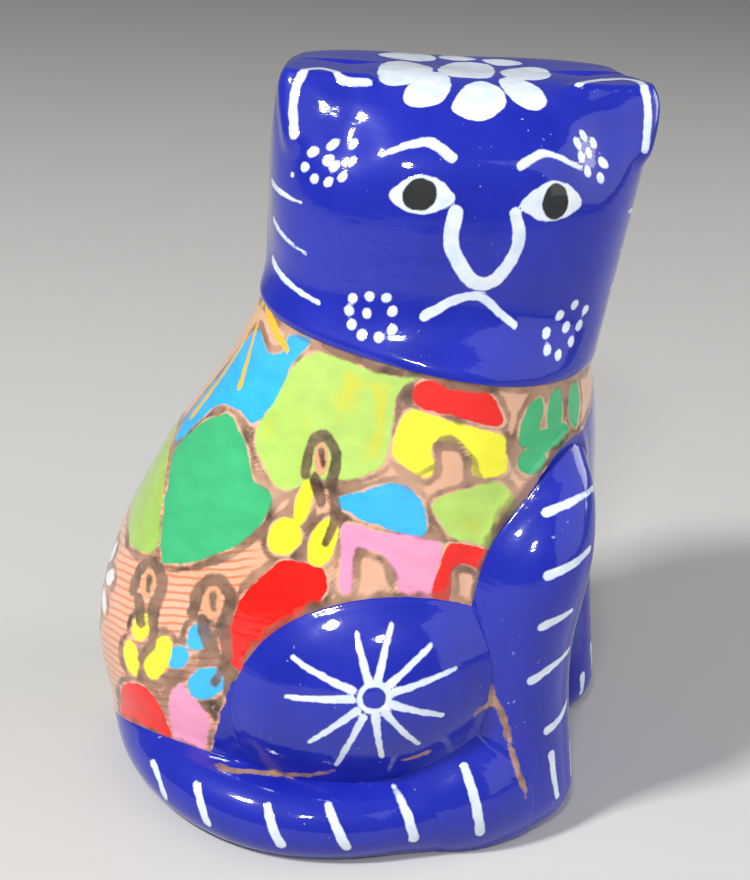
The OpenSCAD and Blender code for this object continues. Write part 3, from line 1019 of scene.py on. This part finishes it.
# petals and the middle of the flower, across the crown and down over the forehead
FLOWER = [
    [(-4.5, -23.5), (-1.5, -15), (2, -11), (5, -14.5), (5.5, -21), (3.5, -25.5), (0.5, -28), (-3, -27)],
    [(-13, -21), (-11, -14), (-7, -6.8), (-4.2, -8.5), (-4, -15), (-6, -22), (-9.5, -24.5), (-12, -24)],
    [(5.4, -10), (7.7, -7), (10.5, -9.5), (12.5, -15), (12.8, -20.5), (11, -23.5), (8.2, -22.5),
     (6, -18)],
    [(-17, -11.5), (-15.3, -2), (-11.5, 3), (-8, 1), (-6, -3.6), (-8.3, -11.5), (-12.3, -15.8),
     (-16, -16)],
    [(7.2, -1), (10.3, 2), (14.5, 3.5), (16.3, -0.5), (15.4, -6), (12.2, -9), (8.7, -8), (6.8, -5.3)],
    [(-15, 8.5), (-11.5, 13), (-7, 15), (-4.5, 13), (-4, 7.8), (-7.5, 4.5), (-11.3, 5)],
    [(-3, 11), (-0.5, 14.5), (3, 12), (4, 9.5), (0.5, 8), (-2.2, 8.8)],
    [(5.2, 9.6), (9, 10.6), (12, 8.6), (12.2, 6), (8.6, 4.2), (6.5, 5.6)],
    [(-5.3, -4.5), (-1.6, 4.8), (2.6, 6.8), (5.8, 4.5), (6, -1), (4, -8), (0.2, -9.3), (-3.4, -9)],
]


# %% Layers of the head
CROWN_FROM = 131
EAR_BRUSH = 0.8


def head_layers(p):
    """White and black of the head. The flower is drawn flat across the crown and down over its edge."""
    q, crown = unrolled_head(p), head_frame(p)
    white = np.minimum(strokes(q, BROWS + NOSE + MOUTH + WHISKERS), dots(q, CHEEKS))
    white = np.minimum(white, patches(q, EYES))
    over = np.stack([crown[:, 0], crown[:, 1] - (DRAWN_HEIGHT - p[:, 2])], axis=-1)
    flower = np.where(p[:, 2] > CROWN_FROM, patches(over, FLOWER), FAR_OFF)
    ears = strokes(crown, [(line, EAR_BRUSH, EAR_BRUSH) for line in EAR_STROKES])
    return {"white": np.minimum(np.minimum(white, flower), ears), "black": patches(q, PUPILS)}


for piece in (face, back_of_head):
    store(piece, head_layers(places_of(piece)))
    print(piece.name, "layers", len(piece.data.attributes))

# %% [markdown]
# ## Star, ticks and missed clay
# These marks sit on lumps that don't unroll, so a tick is three points in space and its distance is
# measured in space too. Where the limbs meet, the brush didn't reach, and a strip of clay stays bare.

# %% Places of the star, ticks and bare seams
STAR = (15.4, 33.8)
STAR_RING, STAR_RING_HALF = 2.6, 0.5
STAR_TIPS = [(16.5, 46), (24, 43), (28.7, 38.7), (27.3, 30), (23.6, 23.8), (17.3, 21), (9, 18), (4, 23),
             (-1, 31.4), (-0.7, 38.3), (10.7, 44)]
LEG_TICKS = [
    [(41, -25.5, 66.2), (45, -22.8, 67.7), (48.4, -16.5, 68.5)],
    [(43, -31, 56.2), (46.6, -28.3, 57.5), (49.6, -23, 59.3)],
    [(43, -31.6, 46), (45.3, -30, 47), (47.7, -27.3, 48)],
    [(42.3, -32, 34.7), (45.2, -29.5, 36.6), (48, -24.2, 38.4)],
    [(46, -29.3, 23.2), (48, -25.8, 24.5), (49.3, -22.5, 27)],
]
TOE_TICKS = [
    [(47.4, -28.8, 17.8), (48.3, -28.7, 13), (49.3, -28.3, 8.5)],
    [(50, -20.8, 16), (50.7, -21.2, 13), (51.1, -21.7, 10)],
    [(49.3, -16, 10.8), (49.4, -16, 6.4)],
]
TAIL_TICKS = [
    [(-28.4, -41.9, 9.2), (-26, -45.1, 7.6), (-24, -46.6, 4.6)],
    [(-17, -48.6, 10.5), (-15.3, -50.8, 7.8), (-13.6, -51.7, 4.5)],
    [(-2.2, -51.8, 10.8), (-0.6, -53.7, 8), (1.3, -54.1, 4.5)],
    [(8.8, -49.5, 12), (11, -51.8, 9.2), (13.4, -52.1, 4.5)],
    [(19.6, -41.8, 12.7), (22.8, -45.2, 10.3), (24.8, -46, 5.5)],
    [(32, -38.4, 18), (34.7, -40.6, 13), (36.6, -40.6, 5.5)],
]
# clay that the brush missed: where paw, haunch and leg meet, and under the haunch
BARE_SEAMS = [
    ([(34.8, -34, 33.2), (35.7, -34, 30), (37.6, -33.8, 27.5), (40.2, -33.8, 20), (43.8, -34.5, 11)],
     0.9, 0.5),
    ([(32.4, -35.8, 28), (34, -34.8, 29.2), (35.6, -34, 30)], 0.4, 0.9),
    ([(-14, -44.6, 13), (-11, -45.6, 13), (-4, -44.3, 12.8), (3, -44.5, 14), (10, -44.5, 17.2)],
     1.0, 0.3),
    ([(21, -42.2, 19.6), (23.6, -41.2, 20.2), (25.2, -40.4, 21.2)], 0.3, 0.7),
]


# %% Marks on the limbs
def haunch_star(p):
    """Rays drawn outwards from a small ring; the haunch faces sideways, so x and z are enough."""
    q = p[:, [0, 2]]
    rays = []
    for x, z in STAR_TIPS:
        start = (STAR[0] + 0.25 * (x - STAR[0]), STAR[1] + 0.25 * (z - STAR[1]))
        rays.append(([start, (x, z)], 0.75, 0.45))
    ring = np.abs(np.linalg.norm(q - STAR, axis=-1) - STAR_RING) - STAR_RING_HALF
    return np.minimum(strokes(q, rays), ring)


def leg_ticks(p):
    lines = [(line, 0.9, 0.6) for line in LEG_TICKS] + [(line, 0.85, 0.6) for line in TOE_TICKS]
    return strokes(p, lines)


def tail_ticks(p):
    return strokes(p, [(line, 0.8, 1.0) for line in TAIL_TICKS])


def no_marks(p):
    return np.full(len(p), FAR_OFF)


# the left leg's own lean is taken out, so that the right leg's ticks fit it
left_leg_places = places_of(left_leg)
lean = np.interp(left_leg_places[:, 2], LEG[:, 2], LEG[:, 0] - LEFT_LEG[:, 0])
left_leg_places = left_leg_places * TO_LEFT + lean[:, None] * [1, 0, 0]
MARKED = [
    (right_haunch, haunch_star, places_of(right_haunch)),
    (left_haunch, haunch_star, places_of(left_haunch) * TO_LEFT),
    (right_leg, leg_ticks, places_of(right_leg)),
    (left_leg, leg_ticks, left_leg_places),
    (tail, tail_ticks, places_of(tail)),
    (right_hind_paw, tail_ticks, places_of(right_hind_paw)),
    (left_hind_paw, no_marks, places_of(left_hind_paw)),
]
for piece, marks, places in MARKED:
    bare = strokes(places_of(piece), BARE_SEAMS)
    store(piece, {"white": marks(places), "black": no_marks(places), "bare": bare})
for piece in (face, back_of_head):
    store(piece, {"bare": no_marks(places_of(piece))})

# %% [markdown]
# ## Finishes
# The paint is matt acrylic that has soaked a little into bare clay, and a clear brushed varnish lies
# over everything but the underside. The varnish is a separate glossy coat here. The paint under it
# mirrors almost nothing, because varnish and paint bend light alike, and that keeps the blue deep. Each
# colour film stands a few hundredths of a millimetre proud.

# %% A helper for shader nodes
class Nodes:
    """Adds shader nodes; a socket given as an input is linked, and any other value is set."""

    def __init__(self, name):
        self.material = bpy.data.materials.new(name)
        self.material.use_nodes = True
        self.tree = self.material.node_tree
        self.surface = self.tree.nodes["Principled BSDF"]

    def fill(self, node, inputs):
        for key, value in inputs.items():
            socket = node.inputs[key]
            if isinstance(value, bpy.types.NodeSocket):
                self.tree.links.new(value, socket)
            else:
                socket.default_value = value

    def add(self, kind, inputs, out=0, **settings):
        node = self.tree.nodes.new("ShaderNode" + kind)
        for key, value in settings.items():
            setattr(node, key, value)
        self.fill(node, inputs)
        return node.outputs[out]

    def math(self, operation, *values):
        return self.add("Math", dict(enumerate(values)), operation=operation)

    def noise(self, scale, detail=2.0, stretch=(1, 1, 1)):
        place = self.add("TexCoord", {}, out="Object")
        place = self.add("Mapping", {"Vector": place, "Scale": stretch})
        return self.add("TexNoise", {"Vector": place, "Scale": scale / MM / 1000, "Detail": detail})

    def mix(self, share, a, b):
        return self.add("Mix", {0: share, 6: a, 7: b}, out=2, data_type="RGBA")

    def between(self, value, low, high, to_low=0.0, to_high=1.0):
        return self.add("MapRange", {0: value, 1: low, 2: high, 3: to_low, 4: to_high})

    def layer(self, name):
        return self.add("Attribute", {}, out="Fac", attribute_name=name)


# %% Colours
def rgb(r, g, b):
    return (r, g, b, 1.0)


COLOURS = {
    "cobalt": rgb(0.006, 0.014, 0.33), "sky": rgb(0.03, 0.42, 0.80), "lime": rgb(0.42, 0.62, 0.12),
    "emerald": rgb(0.045, 0.42, 0.17), "olive": rgb(0.32, 0.50, 0.09), "red": rgb(0.80, 0.006, 0.002),
    "yellow": rgb(0.88, 0.80, 0.03), "pink": rgb(0.85, 0.30, 0.48), "white": rgb(0.80, 0.84, 0.85),
    "gold": rgb(0.83, 0.46, 0.03), "black": rgb(0.02, 0.021, 0.022), "clay": rgb(0.72, 0.36, 0.19),
    "wash": rgb(0.25, 0.14, 0.09), "dark_wash": rgb(0.035, 0.022, 0.016), "hatch": rgb(0.72, 0.17, 0.06),
    "streak": rgb(0.66, 0.62, 0.04), "chip": rgb(0.42, 0.44, 0.62), "smear": rgb(0.44, 0.25, 0.16),
    "thin_white": rgb(0.60, 0.70, 0.86), "dark_clay": rgb(0.42, 0.20, 0.11),
}


def lighter(colour, by):
    """The colour moved towards white by a share."""
    return tuple(c + (1 - c) * by for c in colour[:3]) + (1.0,)


def brighter(colour):
    """The same paint laid thinner: each channel goes up by a fifth, with a trace of white."""
    return tuple(min(c * 1.2 + 0.006, 0.95) for c in colour[:3]) + (1.0,)


# %% Paint films and varnish
EDGE = 0.14
GRAIN, BRUSH, FILM = 0.00002, 0.00018, 0.00009


def paint_film(n, colour, film, name, waver, streak):
    """Lay one colour over what is there; its edge wavers and its body varies with the brush."""
    mask = n.between(n.math("ADD", n.layer(name), waver), EDGE, -EDGE)
    own = n.mix(streak, COLOURS[name], brighter(COLOURS[name]))
    return n.mix(mask, colour, own), n.math("MAXIMUM", film, mask)


def varnish(n, colour, film):
    """Dull paint under a glossy coat. Grain, brush marks and film edges, in metres, tilt the surface."""
    tiny = n.math("MULTIPLY", n.noise(900, 3.0), GRAIN)
    brush = n.math("MULTIPLY", n.noise(160, 3.0, (1, 1, 2.5)), BRUSH)
    height = n.math("ADD", n.math("ADD", tiny, brush), n.math("MULTIPLY", film, FILM))
    bump = n.add("Bump", {"Height": height, "Distance": 1.0, "Strength": 0.5})
    rough = n.between(n.noise(60, 4.0), 0.3, 0.75, 0.34, 0.5)
    n.fill(n.surface, {
        "Base Color": colour, "Roughness": rough, "Specular IOR Level": 0.12, "Normal": bump,
        "Coat Weight": 1.0, "Coat Roughness": 0.07, "Coat IOR": 1.5, "Coat Normal": bump,
    })
    return n.material


# %% [markdown]
# The body's finish lays the films one over another in the order in which the painter did: hatching on
# bare clay, colours, brown wash between them, people, rays, and last the blue that comes round from the
# legs. One image could hold the whole picture, but would blur close up.

# %% Finish of the painted scene
HATCH_STEP, HATCH_CLIMB = 1.55, -1.9


def scene_finish():
    """Films over clay, for the two body halves."""
    n = Nodes("painted_scene")
    waver = n.math("MULTIPLY", n.math("SUBTRACT", n.noise(420, 3.0), 0.5), 1.5)
    streak = n.between(n.noise(200, 4.0, (1, 1, 1.6)), 0.3, 0.8)
    mottle = n.noise(140, 5.0)
    colour = n.mix(mottle, COLOURS["clay"], lighter(COLOURS["clay"], 0.25))
    # thin hatching, in rows that climb slightly, low down towards the back
    climb = n.math("MULTIPLY", n.layer("across"), HATCH_CLIMB)
    rows = n.math("ADD", n.math("MULTIPLY", n.layer("up"), UP_UNIT / HATCH_STEP), climb)
    rows = n.math("ADD", rows, n.math("MULTIPLY", n.noise(130, 2.0), 0.9))
    tooth = n.math("PINGPONG", rows, 0.5)
    hatch = n.between(tooth, 0.30, 0.36)
    hatch = n.math("MULTIPLY", hatch, n.between(n.layer("across"), -1.3, -1.7))
    hatch = n.math("MULTIPLY", hatch, n.between(n.layer("up"), 3.2, 3.1))
    colour = n.mix(n.math("MULTIPLY", hatch, 0.75), colour, COLOURS["hatch"])
    film = n.math("MULTIPLY", hatch, 0.3)
    for name in ("olive", "lime", "emerald", "sky", "pink", "red", "yellow", "white"):
        colour, film = paint_film(n, colour, film, name, waver, streak)
        if name == "lime":
            inner = n.between(n.layer("lime"), -1.0, -2.5)
            dragged = n.between(n.noise(150, 3.0, (1, 1, 0.45)), 0.52, 0.66, 0.0, 0.75)
            colour = n.mix(n.math("MULTIPLY", inner, dragged), colour, COLOURS["streak"])
    wide = n.math("MULTIPLY", n.math("SUBTRACT", n.noise(200, 4.0), 0.5), 3.0)
    wash = n.between(n.math("ADD", n.layer("outline"), wide), 0.2, -0.35)
    pooled = n.between(n.noise(230, 4.0), 0.42, 0.66)
    shade = n.mix(pooled, COLOURS["wash"], COLOURS["dark_wash"])
    strength = n.between(n.noise(110, 3.0), 0.3, 0.62, 0.35, 0.95)
    colour = n.mix(n.math("MULTIPLY", wash, strength), colour, shade)
    for name, opaque in (("hair", 0.92), ("face", 1.0), ("nose", 0.9), ("blot", 0.85)):
        cover = n.between(n.math("ADD", n.layer(name), waver), 0.25, -0.25, 0.0, opaque)
        colour = n.mix(cover, colour, COLOURS["clay"] if name == "face" else shade)
    for name in ("gold", "cobalt"):
        colour, film = paint_film(n, colour, film, name, waver, streak)
    return varnish(n, colour, film)


# %% Finish of the blue pieces and of bare clay
def cobalt_finish():
    """Blue with chips and missed clay, white marks over it, and the black of the eyes."""
    n = Nodes("cobalt_paint")
    waver = n.math("MULTIPLY", n.math("SUBTRACT", n.noise(500, 3.0), 0.5), 0.7)
    streak = n.between(n.noise(120, 5.0, (1, 1, 0.4)), 0.3, 0.75)
    colour = n.mix(streak, COLOURS["cobalt"], brighter(COLOURS["cobalt"]))
    chips = n.between(n.noise(850, 4.0), 0.70, 0.73)
    chips = n.math("MULTIPLY", chips, n.between(n.noise(45, 3.0), 0.52, 0.64))
    colour = n.mix(n.math("MULTIPLY", chips, 0.7), colour, COLOURS["chip"])
    missed = n.between(n.math("ADD", n.layer("bare"), n.math("MULTIPLY", waver, 2.5)), 0.2, -0.2)
    smeared = n.mix(n.between(n.noise(300, 4.0), 0.4, 0.6), COLOURS["smear"], COLOURS["wash"])
    colour = n.mix(missed, colour, smeared)
    body = n.between(n.noise(330, 4.0), 0.3, 0.7)
    mask = n.between(n.math("ADD", n.layer("white"), waver), EDGE, -EDGE)
    thin = n.mix(body, COLOURS["thin_white"], COLOURS["white"])
    colour = n.mix(mask, colour, thin)
    colour, film = paint_film(n, colour, mask, "black", waver, streak)
    return varnish(n, colour, film)


def clay_finish():
    """Dry clay without varnish, for the slab underneath."""
    n = Nodes("bare_clay")
    colour = n.mix(n.noise(220, 6.0), COLOURS["clay"], COLOURS["dark_clay"])
    n.fill(n.surface, {"Base Color": colour, "Roughness": 0.85})
    return n.material


village, cobalt, clay = scene_finish(), cobalt_finish(), clay_finish()

# %% [markdown]
# ## Handing out the finishes
# Each piece takes its finish and stands for its own node of the frame. The face piece stands for three,
# because both ears are drawn out of its wall. Nothing on a fired figure moves, so all ride on one body.

# %% Hand out the finishes
CLAY_PIECES = {
    "torso_right_half": (right_body, village), "torso_left_half": (left_body, village),
    "head_back_half": (back_of_head, cobalt), "right_haunch": (right_haunch, cobalt),
    "left_haunch": (left_haunch, cobalt), "right_hind_paw": (right_hind_paw, cobalt),
    "left_hind_paw": (left_hind_paw, cobalt), "right_front_leg": (right_leg, cobalt),
    "left_front_leg": (left_leg, cobalt), "tail": (tail, cobalt), "base_slab": (slab, clay),
}
for node, (piece, finish) in CLAY_PIECES.items():
    piece.data.materials.append(finish)
    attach(piece, BODY_NAME)
    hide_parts(node)
face.data.materials.append(cobalt)
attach(face, BODY_NAME)
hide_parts("head_face_half", "right_ear", "left_ear")
print("pieces in place:", len(CLAY_PIECES) + 1)

# %% [markdown]
# ## Floor and light
# A pale matt floor and four lamps. A small key on the left and a small one in front give the crisp
# glints that varnish shows, and two wide ones on the right fill the shadows. An image of a room would
# give richer reflections, but would hide the painting.

# %% Floor, lamps and background
FLOOR_HALF = 2


def make_floor():
    corners = [(x * FLOOR_HALF, y * FLOOR_HALF, 0) for x, y in ((-1, -1), (1, -1), (1, 1), (-1, 1))]
    mesh = bpy.data.meshes.new("floor")
    mesh.from_pydata(corners, [], [(0, 1, 2, 3)])
    floor = bpy.data.objects.new("floor", mesh)
    bpy.context.collection.objects.link(floor)
    n = Nodes("floor_paper")
    n.fill(n.surface, {"Base Color": rgb(0.56, 0.55, 0.53), "Roughness": 0.9})
    mesh.materials.append(n.material)


def area_light(name, place, size, power):
    """A square lamp that faces the middle of the figure."""
    data = bpy.data.lights.new(name, "AREA")
    data.size, data.energy = size, power
    lamp = bpy.data.objects.new(name, data)
    lamp.location = place
    lamp.rotation_euler = (Vector((0, 0, 0.07)) - Vector(place)).to_track_quat("-Z", "Y").to_euler()
    bpy.context.collection.objects.link(lamp)


make_floor()
area_light("key", (-0.48, -0.52, 0.85), 0.14, 11)
area_light("fill", (1.1, -0.3, 0.7), 1.3, 5)
area_light("rim", (0.9, 0.5, 0.5), 0.5, 4)
area_light("front", (0.05, -0.48, 0.44), 0.05, 1.2)
world = bpy.data.worlds.new("studio")
bpy.context.scene.world = world
world.use_nodes = True
background = world.node_tree.nodes["Background"]
background.inputs["Color"].default_value = rgb(0.75, 0.78, 0.82)
background.inputs["Strength"].default_value = 0.22
bpy.context.scene.view_settings.view_transform = "Standard"
print("lamps:", len(bpy.data.lights))
